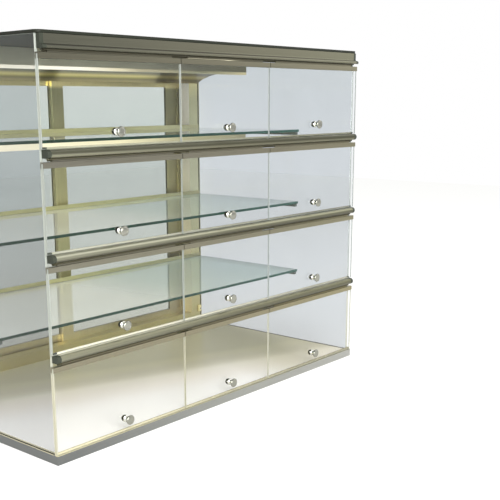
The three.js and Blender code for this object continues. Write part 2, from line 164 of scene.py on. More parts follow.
# Metal: the grain changes the tone, the polish and, very slightly, the height of the surface.
metalGrain = {"polishChange": 0.12, "bump": 0.15, "relief": 0.02}


def finishedMetal(name, look):
    material, tree = startMaterial(name)
    place = addNode(tree, "ShaderNodeTexCoord").outputs["Object"]
    grain, colour = noisyTone(tree, place, look)
    polish = addNode(tree, "ShaderNodeMapRange", inputs={
        "Value": grain, **noiseSpan,
        "To Min": look["roughness"] * (1 - metalGrain["polishChange"]),
        "To Max": look["roughness"] * (1 + metalGrain["polishChange"]),
    })
    bump = addNode(tree, "ShaderNodeBump", inputs={
        "Height": grain, "Strength": metalGrain["bump"], "Distance": metalGrain["relief"] * mm,
    })
    shader = addNode(tree, "ShaderNodeBsdfPrincipled", inputs={
        "Base Color": colour, "Metallic": 1, "Roughness": polish.outputs["Result"],
        "Normal": bump.outputs["Normal"],
    })
    addNode(tree, "ShaderNodeOutputMaterial", inputs={"Surface": shader.outputs["BSDF"]})
    return material


# Hinge lines, as (depth, height), from the joints of the doors.
hingeLines = {}
for joint in frame["joints"]:
    if joint["name"].endswith("_hinge"):
        tier = int(joint["child"].split("_")[1])
        hingeLines[tier] = (joint["pos_m"][1], joint["pos_m"][2])

# Painted reflections on the rounded noses: what they mirror, as tones by height over the hinge line
# in millimetres, for each rail.
noseReach = (0.25, 0.76)
noseHeights = (5.3, 7.4, 10.1, 13.2, 16.3, 17.7, 19.1, 21.1, 22.2)
noseReflectionTones = {
    4: ("#939391", "#929290", "#ABABA8", "#B4B4B1", "#B4B3AD", "#B2B1A9", "#B2B1A8", "#DEDED8",
        "#F2F2EE"),
    3: ("#8E8C89", "#868683", "#9C9C9A", "#B2B3B2", "#C4C4C2", "#DEDEDC", "#EAEAE8", "#F6F8F6",
        "#FFFFFF"),
    2: ("#D8D7D3", "#B8B7B4", "#B0B0AC", "#7E7E7A", "#5E5E58", "#747470", "#8E8E8A", "#C6C6C2",
        "#B8B8B4"),
}
noseReflectionBands = [
    ((hingeLines[tier][1] + height * mm - noseReach[0]) / (noseReach[1] - noseReach[0]), tone)
    for tier in (4, 3, 2) for height, tone in zip(noseHeights, noseReflectionTones[tier])
]

# Die lines are about 0.3 mm apart. They are drawn 2 mm apart, the finest that shows at this size.
frontBars = {"grainSize": (140, 2, 2), "variation": 0.05}
uprights = {"grainSize": (3, 3, 120), "variation": 0.04}
turned = {"grainSize": (2, 2, 2), "variation": 0.04}
frontReach = (-0.60, 0.635)
metals = {
    # Aluminium, extruded, brushed and bronze anodised. The fascia and its hinge rails look darker.
    # Their tones along X are painted reflection, lighter at one end than the other.
    "fascia": finishedMetal("anodisedAluminiumFascia", {
        **frontBars, "roughness": 0.36,
        "runs": [("X", frontReach, [(0, "#59594E"), (0.5, "#676556"), (1, "#73725F")])],
    }),
    "hingeTop": finishedMetal("anodisedAluminiumTopHingeRail", {
        **frontBars, "roughness": 0.34,
        "runs": [("X", frontReach, [(0, "#626053"), (0.5, "#6F6C5C"), (1, "#807C68")])],
    }),
    "rail": finishedMetal("anodisedAluminiumRail", {
        **frontBars, "roughness": 0.34,
        "runs": [
            ("X", frontReach, [(0, "#C4C3AD"), (0.3, "#AFAE98"), (0.5, "#9F9D86"), (1, "#95947B")]),
            ("Z", noseReach, noseReflectionBands),
        ],
    }),
    "hinge": finishedMetal("anodisedAluminiumHingeRail", {
        **frontBars, "roughness": 0.3,
        "runs": [
            ("X", frontReach, [(0, "#878475"), (0.5, "#8B8774"), (1, "#938E73")]),
            # Painted light by height: the lowest hinge rail is the warmest and lightest.
            ("Z", (0.24, 0.72), [(0, "#F8F4EC"), (0.5, "#EAEAEA"), (1, "#E6E6EA")]),
        ],
    }),
    # Aluminium, extruded and brushed, clear anodised. Its tone along X, darker at the left, is
    # painted reflection.
    "base": finishedMetal("brushedAluminiumBase", {
        **frontBars, "roughness": 0.4,
        "runs": [("X", frontReach, [(0, "#747675"), (0.5, "#9C9D98"), (1, "#ABABA6")])],
    }),
    # Aluminium, extruded, champagne anodised. Painted light from the lit deck and shelves warms its
    # lower part, and painted lamp light its top.
    "rear": finishedMetal("champagneAnodisedAluminiumRear", {
        **uprights, "roughness": 0.32,
        "runs": [
            ("Z", (0.02, 0.96), [
                (0, "#CFC48C"), (0.3, "#BAB489"), (0.55, "#BDBC9E"), (0.9, "#A6A482"),
                (1, "#C8BC88"),
            ]),
        ],
    }),
    # The leaves carry painted light: warm and light at the foot, a bright band at the top lamp's
    # height; painted shade darkens them towards the right.
    "leaf": finishedMetal("champagneAnodisedAluminiumLeaf", {
        **uprights, "variation": 0.09, "roughness": 0.32,
        "runs": [
            ("Z", (0.02, 0.96), [
                (0, "#E0D4AC"), (0.3, "#AFAA78"), (0.55, "#BDB583"), (0.9, "#928F6A"),
                (0.94, "#928F6A"), (0.95, "#E8DA9C"), (1, "#E8DA9C"),
            ]),
            ("X", (0.02, 0.30), [(0, "#FFFFFF"), (1, "#C8C8C8")]),
        ],
    }),
    # The bearers' tone along X, lighter at the left and darker to the right, is painted light.
    "carrier": finishedMetal("champagneAnodisedAluminiumCarrier", {
        **frontBars, "roughness": 0.3,
        "runs": [("X", (-0.6, 0.6), [(0, "#CCC890"), (0.5, "#C4C08A"), (1, "#ACA884")])],
    }),
    # The same, dyed dark: the arms at the shelves' ends.
    "arm": finishedMetal("anodisedAluminiumShelfArm", {
        **uprights, "roughness": 0.4,
        "runs": [("X", (-0.6, 0.6), [(0, "#5C6258"), (1, "#5A625A")])],
    }),
    # Steel sheet, folded and brushed. Painted bands of lamp light lie along its cove, and painted
    # shade darkens it towards the right.
    "soffit": finishedMetal("brushedSteelSoffit", {
        **frontBars, "roughness": 0.36,
        "runs": [
            ("Z", (0.926, 0.966), [
                (0, "#D8C488"), (0.175, "#B8A470"), (0.25, "#A39257"), (0.325, "#C5B464"),
                (0.4, "#EFDB84"), (0.475, "#FFED99"), (0.55, "#EED88B"), (0.62, "#B4A672"),
                (0.69, "#8F865E"), (0.76, "#766F50"), (1, "#766F50"),
            ]),
            ("X", (-0.1, 0.62), [
                (0, "#FFFFFF"), (0.55, "#FFFFFF"), (0.8, "#D4D4D6"), (1, "#A6A6AA"),
            ]),
        ],
    }),
    # Its front face: painted light, lighter at the left and darker towards the right.
    "soffitFace": finishedMetal("brushedSteelSoffitFace", {
        **frontBars, "roughness": 0.36,
        "runs": [("X", (-0.131, 0.566), [
            (0, "#D8D4B8"), (0.345, "#C3BFA6"), (0.74, "#7D7A66"), (1, "#69664F"),
        ])],
    }),
    # Brass, turned, polished and chromium plated. Its tones along the axis are painted reflections:
    # the head's front grey, a bright band on the neck, the part behind the glass darkest.
    "knob": finishedMetal("chromePlatedBrassKnob", {
        **turned, "roughness": 0.08,
        "runs": [("Y", (-0.391, -0.359), [
            (0, "#94948A"), (0.2, "#A2A298"), (0.42, "#E2E2DA"), (0.62, "#B4B4AA"),
            (0.7, "#6C6C60"), (1, "#646458"),
        ])],
    }),
    # Brass, stamped and nickel plated.
    "pin": finishedMetal("nickelPlatedBrassPin", {
        **turned, "roughness": 0.2, "runs": [("Z", (0.97, 1.0), [(0, "#B8B4A4"), (1, "#C4C0B2")])],
    }),
}


# Soda-lime float glass: clear, fire-polished on both faces, with a faint cast and traces of wiping.
# Light for shadows and for the pieces inside goes straight through it. The index is low because
# the photo's panes mirror next to nothing.
clearGlass = {
    "grainSize": (180, 180, 180), "variation": 0.015, "index": 1.25, "haze": 0,
    "through": "#F9F8F7",
}


def floatGlass(name, look):
    look = {**clearGlass, **look}
    material, tree = startMaterial(name)
    place = addNode(tree, "ShaderNodeTexCoord").outputs["Object"]
    _, tint = noisyTone(tree, place, look)
    pane = addNode(tree, "ShaderNodeBsdfPrincipled", inputs={
        "Base Color": tint, "Roughness": 0, "IOR": look["index"],
        "Transmission Weight": 1 - look["haze"],
    })
    through = addNode(tree, "ShaderNodeBsdfTransparent", inputs={"Color": linear(look["through"])})
    path = addNode(tree, "ShaderNodeLightPath")
    passing = addNode(tree, "ShaderNodeMath", {"operation": "MAXIMUM"}, {
        0: path.outputs["Is Shadow Ray"], 1: path.outputs["Is Diffuse Ray"],
    })
    glass = addNode(tree, "ShaderNodeMixShader", inputs={
        "Fac": passing.outputs["Value"], 1: pane.outputs["BSDF"], 2: through.outputs["BSDF"],
    })
    addNode(tree, "ShaderNodeOutputMaterial", inputs={"Surface": glass.outputs["Shader"]})
    return material


glazing = {
    "door": floatGlass("floatGlassDoor", {
        "runs": [("Z", (0, 1), [(0, "#F3F5F6"), (1, "#F1F4F5")])],
    }),
    # The side panes' tint is painted light by height, lighter and darker tier by tier.
    "side": floatGlass("floatGlassSide", {
        "runs": [("Z", (0, 1), [
            (0, "#D2D5D9"), (0.45, "#CED1D5"), (0.62, "#DADEE2"), (0.8, "#D8DCE0"), (1, "#D4D9DC"),
        ])],
    }),
    # The rear panes' tint, darker low down and lighter at the top, is painted light.
    "rear": floatGlass("floatGlassRearDoor", {
        "runs": [("Z", (0.05, 0.95), [
            (0, "#C8CAC1"), (0.6, "#C2C8C4"), (0.85, "#D3DAD4"), (1, "#D5DAD5"),
        ])],
    }),
    # The shelves' haze shows their tone, painted light along X: near white at the left, greyer
    # green towards the right.
    "shelf": floatGlass("floatGlassShelf", {
        "haze": 0.36,
        "runs": [("X", (-0.4, 0.5), [
            (0, "#FCFFF8"), (0.35, "#FAFDF4"), (0.6, "#D8E6DC"), (1, "#C0D4D0"),
        ])],
    }),
}


# A surface that isn't metal: a tone, a fine texture, its own gloss and reflection.
plainRelief = 0.05     # depth of the texture in millimetres


def plainSurface(name, look):
    material, tree = startMaterial(name)
    place = addNode(tree, "ShaderNodeTexCoord").outputs["Object"]
    texture, colour = noisyTone(tree, place, look)
    bump = addNode(tree, "ShaderNodeBump", inputs={
        "Height": texture, "Strength": look["bump"], "Distance": plainRelief * mm,
    })
    shader = addNode(tree, "ShaderNodeBsdfPrincipled", inputs={
        "Base Color": colour, "Roughness": look["roughness"], "Normal": bump.outputs["Normal"],
        "Specular IOR Level": look.get("specular", 0.5),
    })
    addNode(tree, "ShaderNodeOutputMaterial", inputs={"Surface": shader.outputs["BSDF"]})
    return material


# Moulded and coated surfaces have an even, fine texture.
moulded = {"grainSize": (1, 1, 1), "variation": 0.06, "bump": 0.2}
surfaces = {
    # Float glass, ground and polished along its edge. The doors' edges are pale, with painted light
    # from the lit deck making them creamier on the lowest tier. The shelves' are deep green.
    "doorEdge": plainSurface("groundGlassEdgeDoor", {
        "grainSize": (6, 6, 6), "variation": 0.05, "bump": 0, "roughness": 0.3,
        "runs": [
            ("X", (-0.25, 0.25), [(0, "#B8BCB2"), (1, "#B8BEBC")]),
            ("Z", (0.2, 0.3), [(0, "#ECE4D2"), (1, "#C8CACA")]),
        ],
    }),
    # The shelves' edges lighter towards the right: painted light.
    "shelfEdge": plainSurface("polishedGlassEdgeShelf", {
        "grainSize": (60, 20, 20), "variation": 0.12, "bump": 0, "roughness": 0.2, "specular": 0.1,
        "runs": [("X", frontReach, [(0, "#1C3024"), (0.4, "#183228"), (1, "#264A42")])],
    }),
    # Laminate, pressed on board and glossy, white. Painted shade turns it olive towards the back
    # and greyer towards the right, in slanted bands.
    "deck": plainSurface("glossLaminateDeck", {
        "grainSize": (300, 300, 300), "variation": 0.01, "bump": 0, "roughness": 0.3,
        "specular": 0.2, "turn": 19.8,
        "runs": [
            ("Y", (-0.29, 0.08), [
                (0, "#FFFEFA"), (0.12, "#FDFBF6"), (0.35, "#F4EFE4"), (0.52, "#EAE6D6"),
                (0.62, "#CECAB4"), (0.72, "#C0BCA4"), (0.87, "#BEBB9C"), (1, "#B2AF92"),
            ]),
            ("X", (0.25, 0.6), [
                (0, "#FFFFFF"), (0.55, "#DEDCCC"), (0.75, "#D6D4C4"), (1, "#F2F0E8"),
            ]),
        ],
    }),
    # Sheet steel, black powder coat baked smooth.
    "roof": plainSurface("powderCoatedSteelRoof", {
        **moulded, "roughness": 0.5, "specular": 0.15,
        "runs": [("Z", (0, 1), [(0, "#1C1F17"), (1, "#1C1F17")])],
    }),
    # Nylon, moulded in a spark-textured tool.
    "cap": plainSurface("mouldedNylonEndCap", {
        **moulded, "roughness": 0.5, "specular": 0.3,
        "runs": [("Z", (0, 1), [(0, "#30342A"), (1, "#262A20")])],
    }),
    # Rubber, extruded.
    "gasket": plainSurface("extrudedRubberGasket", {
        **moulded, "roughness": 0.6, "runs": [("Z", (0, 1), [(0, "#4A4C40"), (1, "#3A3E3A")])],
    }),
    # Silicone, extruded: the pale seal that the doors' feet fall shut against. Its tone is painted
    # light, paler low down and at the left.
    "seal": plainSurface("extrudedSiliconeSeal", {
        **moulded, "roughness": 0.55,
        "runs": [
            ("Z", (0.02, 0.77), [
                (0, "#CAC4A4"), (0.34, "#D2CEBA"), (0.66, "#9C9B8A"), (1, "#9C9A82"),
            ]),
            ("X", (-0.5, 0.3), [(0, "#FFFFFF"), (1, "#B6B6B0")]),
        ],
    }),
    # Painted shade: a dark tone laid on the faces of the open socket that the hinge bead turns in.
    "liner": plainSurface("extrudedNylonSocketLiner", {
        **moulded, "roughness": 0.5, "specular": 0.25,
        "runs": [("Z", (0, 1), [(0, "#47442F"), (1, "#3C3A2E")])],
    }),
    # Woven pile: the pale brush along the post that a sliding door shuts against. Its tone is
    # painted light, golden low down and near white at the top.
    "pile": plainSurface("wovenPileSeal", {
        "grainSize": (2, 2, 9), "variation": 0.1, "bump": 0.3, "roughness": 0.8,
        "runs": [("Z", (0.05, 0.95), [(0, "#C8BC8C"), (0.5, "#C8C6AC"), (1, "#F4F4EE")])],
    }),
    # ABS, moulded: the case of the lamp's driver.
    "driver": plainSurface("mouldedAbsDriverCase", {
        **moulded, "roughness": 0.45, "runs": [("Z", (0.9, 1), [(0, "#D8D8D0"), (1, "#DCDCD4")])],
    }),
    # Polyester, moulded: the body of the power inlet.
    "inlet": plainSurface("mouldedPolyesterInlet", {
        **moulded, "roughness": 0.4, "runs": [("Z", (0.9, 1), [(0, "#1A1A1A"), (1, "#1E1E1C")])],
    }),
    # Acetal, moulded: the clip that holds the side glass to its post.
    "clip": plainSurface("mouldedAcetalGlassClip", {
        **moulded, "roughness": 0.4, "runs": [("Z", (0, 0.2), [(0, "#D2C890"), (1, "#CCC28C")])],
    }),
}


# Opal acrylic, extruded and lit from inside: the tube is shorter than the cover, so its end is dim.
def litAcrylic(name, look):
    material, tree = startMaterial(name)
    place = addNode(tree, "ShaderNodeTexCoord").outputs["Object"]
    _, base = noisyTone(tree, place, {
        "grainSize": (80, 80, 80), "variation": 0.04,
        "runs": [("Z", (0, 1), [(0, "#6E6C5A"), (1, "#74725E")])],
    })
    shader = addNode(tree, "ShaderNodeBsdfPrincipled", inputs={
        "Base Color": base, "Roughness": 0.4,
        "Emission Color": toneAlong(tree, place, look["runs"]),
        "Emission Strength": look["strength"],
    })
    addNode(tree, "ShaderNodeOutputMaterial", inputs={"Surface": shader.outputs["BSDF"]})
    return material


lamps = {
    "top": litAcrylic("litAcrylicTopLamp", {"strength": 1.1, "runs": [("X", (-0.6, 0.62), [
        (0, "#FFF4DC"), (0.38, "#FFF8E8"), (0.5, "#DCD0B0"), (0.58, "#A0967A"), (0.8, "#56563E"),
        (0.94, "#8C8462"), (1, "#A89C70"),
    ])]}),
    "shelf": litAcrylic("litAcrylicShelfLamp", {"strength": 1.1, "runs": [("X", (-0.6, 0.62), [
        (0, "#FFF4DC"), (0.5, "#E4DAB0"), (0.72, "#8A845C"), (1, "#504C34"),
    ])]}),
}
print("materials made")


# A finished piece: its mesh, its materials, the body it rides on and what it stands for.
def finishPiece(bm, name, materials, body, standsFor=(), sharpAngle=32):
    mesh = bpy.data.meshes.new(name)
    bm.to_mesh(mesh)
    bm.free()
    for material in materials:
        mesh.materials.append(material)
    mesh.polygons.foreach_set("use_smooth", [True] * len(mesh.polygons))
    mesh.set_sharp_from_angle(angle=radians(sharpAngle))
    piece = bpy.data.objects.new(name, mesh)
    scene.collection.objects.link(piece)
    flat = piece.modifiers.new("flatFacesStayFlat", "WEIGHTED_NORMAL")
    flat.keep_sharp = True
    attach(piece, body)
    if standsFor:
        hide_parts(*standsFor)
    return piece


# Rounds the edges that turn by more than an angle.
def roundEdges(bm, radius, segments=2, overAngle=40, edges=None):
    chosen = bm.edges if edges is None else edges
    sharp = [e for e in chosen if e.is_manifold and e.calc_face_angle() > radians(overAngle)]
    bmesh.ops.bevel(
        bm, geom=sharp, offset=radius * mm, offset_type="OFFSET", affect="EDGES",
        segments=segments, profile=0.5, clamp_overlap=True, material=-1,
    )


# A copy of a CAD node with its triangles merged to whole faces, ready to be rounded.
def copyOf(node):
    bm = bmesh.new()
    bm.from_mesh(frame["nodes"][node].data)
    bmesh.ops.remove_doubles(bm, verts=bm.verts, dist=hair)
    bmesh.ops.dissolve_limit(bm, angle_limit=radians(0.5), verts=bm.verts, edges=bm.edges)
    return bm


# A box between two corners in millimetres.
def boxOf(low, high):
    low, high = Vector(low) * mm, Vector(high) * mm
    stretch = Matrix.Diagonal((*(high - low), 1))
    bm = bmesh.new()
    bmesh.ops.create_cube(bm, size=1, matrix=Matrix.Translation((low + high) / 2) @ stretch)
    return bm


# Runs a bar along X from its section's corners (depth, height, rounding), all in millimetres
# from the hinge line, and rounds each long edge as its corner says, the large ones more finely.
def runBar(corners, fromX, toX, hinge):
    bm = bmesh.new()
    start = [bm.verts.new((fromX, hinge[0] + y * mm, hinge[1] + z * mm)) for y, z, _ in corners]
    section = bm.faces.new(start)
    grown = bmesh.ops.extrude_face_region(bm, geom=[section])
    far = [item for item in grown["geom"] if isinstance(item, bmesh.types.BMVert)]
    bmesh.ops.translate(bm, verts=far, vec=(toX - fromX, 0, 0))
    ends = set(start)
    long = [next(e for e in v.link_edges if e.other_vert(v) not in ends) for v in start]
    for rounding in sorted({corner[2] for corner in corners} - {0}):
        edges = [edge for edge, corner in zip(long, corners) if corner[2] == rounding]
        bmesh.ops.bevel(
            bm, geom=edges, offset=rounding * mm, offset_type="OFFSET", affect="EDGES",
            segments=8 if rounding > 2 else 3, profile=0.5, clamp_overlap=False, material=-1,
        )
    bmesh.ops.remove_doubles(bm, verts=bm.verts, dist=2 * hair)
    bmesh.ops.recalc_face_normals(bm, faces=bm.faces)
    return bm


# Fixed front rails: an open socket below, a stop and a ledge for the doors above, a round nose.
socketCorners = [
    (-2.47, 3.52, 0), (-4.3, 2.24, 2.1), (-4.3, 0, 0.3), (-2.7, 0, 0.3),
    (-2.7, 2.7, 2.6), (2.7, 2.7, 2.6), (2.7, -1.56, 1.5), (1.35, -2.34, 0.3),
    (2.15, -3.72, 0.3), (4.3, -2.48, 2.3), (4.3, 0, 0),
]
railSet = {
    "railCorners": [
        *socketCorners, (8, 0, 0.5), (8, 28.4, 0.8), (3.5, 28.4, 0.8), (3.5, 22.4, 0.5),
        (-15, 22.4, 9.1), (-15, 4.04, 9.1), (-6.6, 4.04, 0),
    ],
    "fasciaCorners": [
        *socketCorners, (8, 0, 0.5), (8, 36, 0.5), (-4, 36, 1), (-4, 13.6, 2.5),
        (-15, 10.35, 3.5), (-15, 3.04, 3.7), (-9.95, 3.08, 0),
    ],
    "railCapCorners": [
        (-2.47, 3.4, 0), (7.8, 3.4, 0.5), (7.8, 28.6, 0.8), (3.4, 28.6, 0.8), (3.4, 22.6, 0.5),
        (-15.2, 22.6, 9.3), (-15.2, 3.85, 9.3), (-6.6, 3.85, 0),
    ],
    "fasciaCapCorners": [
        (-2.47, 3.4, 0), (7.8, 3.4, 0.5), (7.8, 36, 0.5), (-4.2, 36, 1.2), (-4.2, 13.8, 2),
        (-15.2, 10.55, 3.6), (-15.2, 2.9, 3.8), (-9.95, 2.9, 0),
    ],
    "capEnd": 627.5,
    "capLength": 11,
    "capLap": 1,
    "capRound": 0.6,
    # The pale seal on the stop and ledge is painted light: it keeps the shaded ledge pale.
    "seal": (-5.6, 8.2, 22.3),     # depths and least height of the faces that the pale seal covers
    # The socket's faces in front of this depth and below this height carry painted shade.
    "linerFront": -5,              # least depth and greatest height of the liner's faces
    "linerTop": 3.9,
}


def addFrontRails(look):
    capEnd = look["capEnd"] * mm
    barEnd = capEnd - (look["capLength"] - look["capLap"]) * mm
    front, back, low = look["seal"]
    for tier, hinge in sorted(hingeLines.items()):
        isFascia = tier == 1
        node = "front_fascia" if isFascia else f"front_rail_{tier}"
        bar = runBar(look["fasciaCorners" if isFascia else "railCorners"], -barEnd, barEnd, hinge)
        for face in (f for f in bar.faces if abs(f.normal.x) < 0.5):
            middle = face.calc_center_median()
            depth, height = (middle.y - hinge[0]) / mm, (middle.z - hinge[1]) / mm
            if not isFascia and front < depth < back and height > low:
                face.material_index = 1
            elif depth > look["linerFront"] and height < look["linerTop"]:
                face.material_index = 2
        dressing = [metals["fascia" if isFascia else "rail"], surfaces["seal"], surfaces["liner"]]
        finishPiece(bar, f"{node}_bar", dressing, "root", [node])
        for side, label in ((-1, "left"), (1, "right")):
            outerX = side * capEnd
            innerX = side * (capEnd - look["capLength"] * mm)
            corners = look["fasciaCapCorners" if isFascia else "railCapCorners"]
            cap = runBar(corners, min(innerX, outerX), max(innerX, outerX), hinge)
            outer = [e for e in cap.edges if all(abs(v.co.x - outerX) < hair for v in e.verts)]
            roundEdges(cap, look["capRound"], edges=outer)
            finishPiece(cap, f"{node}_end_cap_{label}", [surfaces["cap"]], "root")


addFrontRails(railSet)
print("front rails made")


# Doors: a pane with ground edges, a hinge rail whose bead stops short of the ends, a turned knob.
doorSet = {
    "edgeGrind": 0.7,
    "railCorners": [
        (1, -4.8, 0), (6.3, -4.8, 0.9), (6.3, -18.8, 0.6), (3.3, -18.8, 0.4), (3.3, -8, 0),
        (-3.3, -8, 0), (-3.3, -18.8, 0.4), (-6, -18.8, 1.9), (-6, -4.8, 1), (-1, -4.8, 0),
    ],
    "shoulder": -4.8,     # height of the rail's top face, where the bead's neck stands
    "beadRadius": 2.4,
    "neckHalf": 1,
    "beadShort": 28,
    "beadTurns": (50, 80, 110, 140, 165),     # degrees round the bead from its foot
    # Radius and place along the axis, from the front face of the glass.
    "knobProfile": [
        (0, -20), (7.6, -20), (8.2, -19.6), (8.8, -20), (10.6, -20), (12.2, -19.4), (13, -18),
        (12.8, -16.4), (11.4, -14.4), (8.6, -12.6), (6.6, -11), (6.1, -9), (6.1, -5.6), (6.8, -4),
        (9, -2.6), (9.6, -2), (9.6, -0.3), (4, -0.3), (4, 6.3), (9, 6.3), (9, 7.4), (7.4, 7.8),
        (7.4, 11), (6.8, 11.8), (0, 11.8),
    ],
    "knobSteps": 40,
    "knobSharpAngle": 50,
}


# A pane copied from its node: the two faces stay clear, everything round them is edge.
def paneOf(node, grind, faceAxis):
    bm = copyOf(node)
    roundEdges(bm, grind, segments=1, overAngle=60)
    for face in bm.faces:
        face.material_index = 0 if abs(face.normal[faceAxis]) > 0.99 else 1
    return bm


def hingeRail(node, look, hinge):
    low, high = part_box(node)
    bm = runBar(look["railCorners"], low.x, high.x, hinge)
    shoulder = hinge[1] + look["shoulder"] * mm
    for place in (low.x + look["beadShort"] * mm, high.x - look["beadShort"] * mm):
        bmesh.ops.bisect_plane(
            bm, geom=[*bm.verts, *bm.edges, *bm.faces], dist=hair,
            plane_co=(place, 0, 0), plane_no=(1, 0, 0),
        )
    # The bead grows from the long strip in the middle of that face. The faces that it grows from
    # stay inside it.
    stripPlace = Vector(((low.x + high.x) / 2, hinge[0], shoulder))
    upward = [face for face in bm.faces if face.normal.z > 0.9]
    strip = min(upward, key=lambda face: (face.calc_center_median() - stripPlace).length)
    firstTurn = degrees(asin(look["neckHalf"] / look["beadRadius"]))
    top = [strip]
    for turn in (firstTurn, *look["beadTurns"]):
        grown = bmesh.ops.extrude_face_region(bm, geom=top)
        top = [item for item in grown["geom"] if isinstance(item, bmesh.types.BMFace)]
        halfWidth = look["beadRadius"] * sin(radians(turn)) * mm
        height = hinge[1] - look["beadRadius"] * cos(radians(turn)) * mm
        for vert in top[0].verts:
            vert.co.y = hinge[0] + (halfWidth if vert.co.y > hinge[0] else -halfWidth)
            vert.co.z = height
    bmesh.ops.recalc_face_normals(bm, faces=bm.faces)
    return bm


def turnedKnob(node, look, glassFront):
    low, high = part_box(node)
    centre = Vector(((low.x + high.x) / 2, glassFront, (low.z + high.z) / 2))
    bm = bmesh.new()
    chain = [bm.verts.new(centre + Vector((radius * mm, along * mm, 0)))
             for radius, along in look["knobProfile"]]
    edges = [bm.edges.new(pair) for pair in zip(chain, chain[1:])]
    bmesh.ops.spin(
        bm, geom=[*chain, *edges], cent=centre, axis=(0, 1, 0), angle=radians(360),
        steps=look["knobSteps"], use_merge=True,
    )
    bmesh.ops.remove_doubles(bm, verts=bm.verts, dist=hair)
    bmesh.ops.recalc_face_normals(bm, faces=bm.faces)
    return bm


def addDoors(look):
    for tier, hinge in sorted(hingeLines.items()):
        for column in ("left", "middle", "right"):
            door = f"door_{tier}_{column}"
            pane = paneOf(f"{door}_glass", look["edgeGrind"], 1)
            finishPiece(
                pane, f"{door}_pane", [glazing["door"], surfaces["doorEdge"]], door,
                [f"{door}_glass"],
            )
            rail = hingeRail(f"{door}_hinge_rail", look, hinge)
            finishPiece(
                rail, f"{door}_clamp_rail", [metals["hingeTop" if tier == 1 else "hinge"]], door,
                [f"{door}_hinge_rail"],
            )
            knob = turnedKnob(f"{door}_knob", look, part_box(f"{door}_glass")[0].y)
            finishPiece(
                knob, f"{door}_turned_knob", [metals["knob"]], door,
                [f"{door}_knob"], sharpAngle=look["knobSharpAngle"],
            )


addDoors(doorSet)
print("doors made")


# Base, deck and top panel.
bodySet = {
    "baseRound": 0.8, "deckRound": 0.4, "roofRound": 1.5, "sideGrind": 1,
    # The pale seal on the base's top is painted light over the shaded gap between deck and side
    # glass.
    "baseTop": 22.4,     # the base's faces above this height carry the pale seal
}


def addBody(look):
    base = copyOf("base_frame")
    roundEdges(base, look["baseRound"])
    for face in base.faces:
        face.material_index = int(face.calc_center_median().z > look["baseTop"] * mm)
    finishPiece(
        base, "base_ring", [metals["base"], surfaces["seal"]], "root",
        ["base_frame"],
    )
    deck = copyOf("deck_panel")
    roundEdges(deck, look["deckRound"])
    finishPiece(deck, "deck_board", [surfaces["deck"]], "root", ["deck_panel"])
    roof = copyOf("top_panel")
    roundEdges(roof, look["roofRound"], segments=3)
    finishPiece(roof, "roof_sheet", [surfaces["roof"]], "root", ["top_panel"])
    for side in ("left", "right"):
        pane = paneOf(f"side_glass_{side}", look["sideGrind"], 0)
        finishPiece(
            pane, f"side_pane_{side}", [glazing["side"], surfaces["doorEdge"]], "root",
            [f"side_glass_{side}"],
        )


addBody(bodySet)
print("base, deck, roof and side glass made")


# Shelves on their carriers. The front edge is the dark green line across each tier.
shelfSet = {
    "grind": 0.8, "carrierRound": 0.6,
    "armBack": 296,     # the carrier's faces in front of this depth are its arms'
}


def addShelves(look):
    for number in (1, 2, 3):
        pane = paneOf(f"shelf_{number}_glass", look["grind"], 2)
        finishPiece(
            pane, f"shelf_{number}_pane", [glazing["shelf"], surfaces["shelfEdge"]], "root",
            [f"shelf_{number}_glass"],
        )
        carrier = copyOf(f"shelf_{number}_carrier")
        roundEdges(carrier, look["carrierRound"])
        for face in carrier.faces:
            face.material_index = int(face.calc_center_median().y < look["armBack"] * mm)
        finishPiece(
            carrier, f"shelf_{number}_bearer", [metals["carrier"], metals["arm"]], "root",
            [f"shelf_{number}_carrier"],
        )


addShelves(shelfSet)
print("shelves made")


# The clips that hold the side glass to the posts near their feet, each with its screw. The corners
# are the right clip's.
clipSet = {
    "low": (611, 315, 57), "high": (623.6, 323.4, 83), "round": 3,
    "screwRadius": 3.4, "screwRise": 1.2, "screwRound": 0.3, "screwSegments": 20,
}


def addClips(look):
    lowX, lowY, lowZ = look["low"]
    highX, highY, highZ = look["high"]
    screwY = lowY - look["screwRise"] / 2
    radius = look["screwRadius"] * mm
    for side, label in ((-1, "left"), (1, "right")):
        ends = sorted((side * lowX, side * highX))
        clip = boxOf((ends[0], lowY, lowZ), (ends[1], highY, highZ))
        roundEdges(clip, look["round"], segments=3)
        finishPiece(clip, f"side_glass_clip_{label}", [surfaces["clip"]], "root")
        screw = bmesh.new()
        place = Vector((side * (lowX + highX) / 2, screwY, (lowZ + highZ) / 2)) * mm
        bmesh.ops.create_cone(
            screw, cap_ends=True, segments=look["screwSegments"], radius1=radius, radius2=radius,
            depth=look["screwRise"] * mm,
            matrix=Matrix.Translation(place) @ Matrix.Rotation(radians(90), 4, "X"),
        )
        roundEdges(screw, look["screwRound"])
        finishPiece(screw, f"side_glass_clip_{label}_screw", [metals["pin"]], "root")


addClips(clipSet)
print("glass clips made")


# Rear frame and its two sliding doors, each pane held by a rubber gasket on either side.
rearSet = {
    "frameRound": 0.7, "leafRound": 0.6, "paneGrind": 0.5,
    "gasketSeat": 6, "gasketWidth": 3, "gasketHeight": 1.2, "gasketRound": 0.4,
    "postInner": 578, "postLap": 0.5,     # where the posts' inner faces lie, and how exactly
    "inlet": ((429, 481), (372.5, 392), (971, 1001)),     # the inlet's body, in X, Y and Z
    "pins": ((448, 984), (455, 989), (462, 984)),         # the pins' places in X and Z
    "pinSize": (2, 6), "pinReach": (376.7, 388), "pinRound": 0.3,
}


